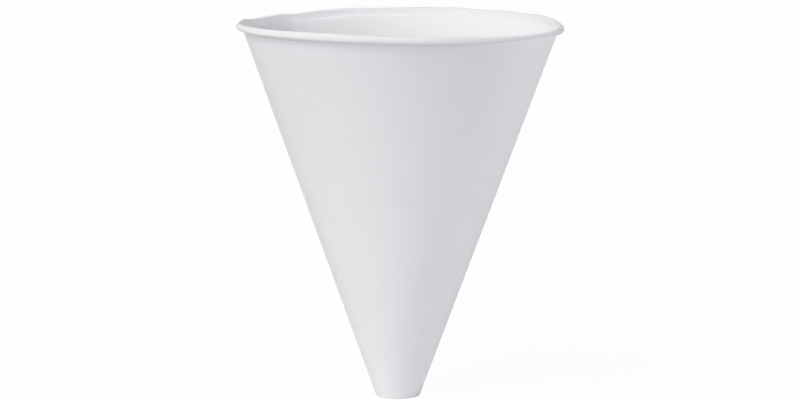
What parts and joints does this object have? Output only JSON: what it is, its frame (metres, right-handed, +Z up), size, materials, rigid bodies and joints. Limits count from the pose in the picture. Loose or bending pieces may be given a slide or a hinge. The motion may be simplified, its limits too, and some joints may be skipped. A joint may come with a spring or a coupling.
{
  "type": "cone paper cup",
  "caption": "White paper cone with a rolled rim and a square-cut open tip, wound from one sheet with a glued side lap, for serving or pouring liquids.",
  "frame": {"origin": "centre of the cut tip's ring, on the plane that the cup stands on", "axes": "+Z up the cone's axis to the mouth, -Y towards the picture's viewer, +X to the viewer's right"},
  "size_m": [0.1003, 0.1, 0.118],
  "materials": {
    "paper": "matte bleached cup paper"
  },
  "bodies": {
    "root": {"paper_cone": "paper"}
  },
  "joints": []
}
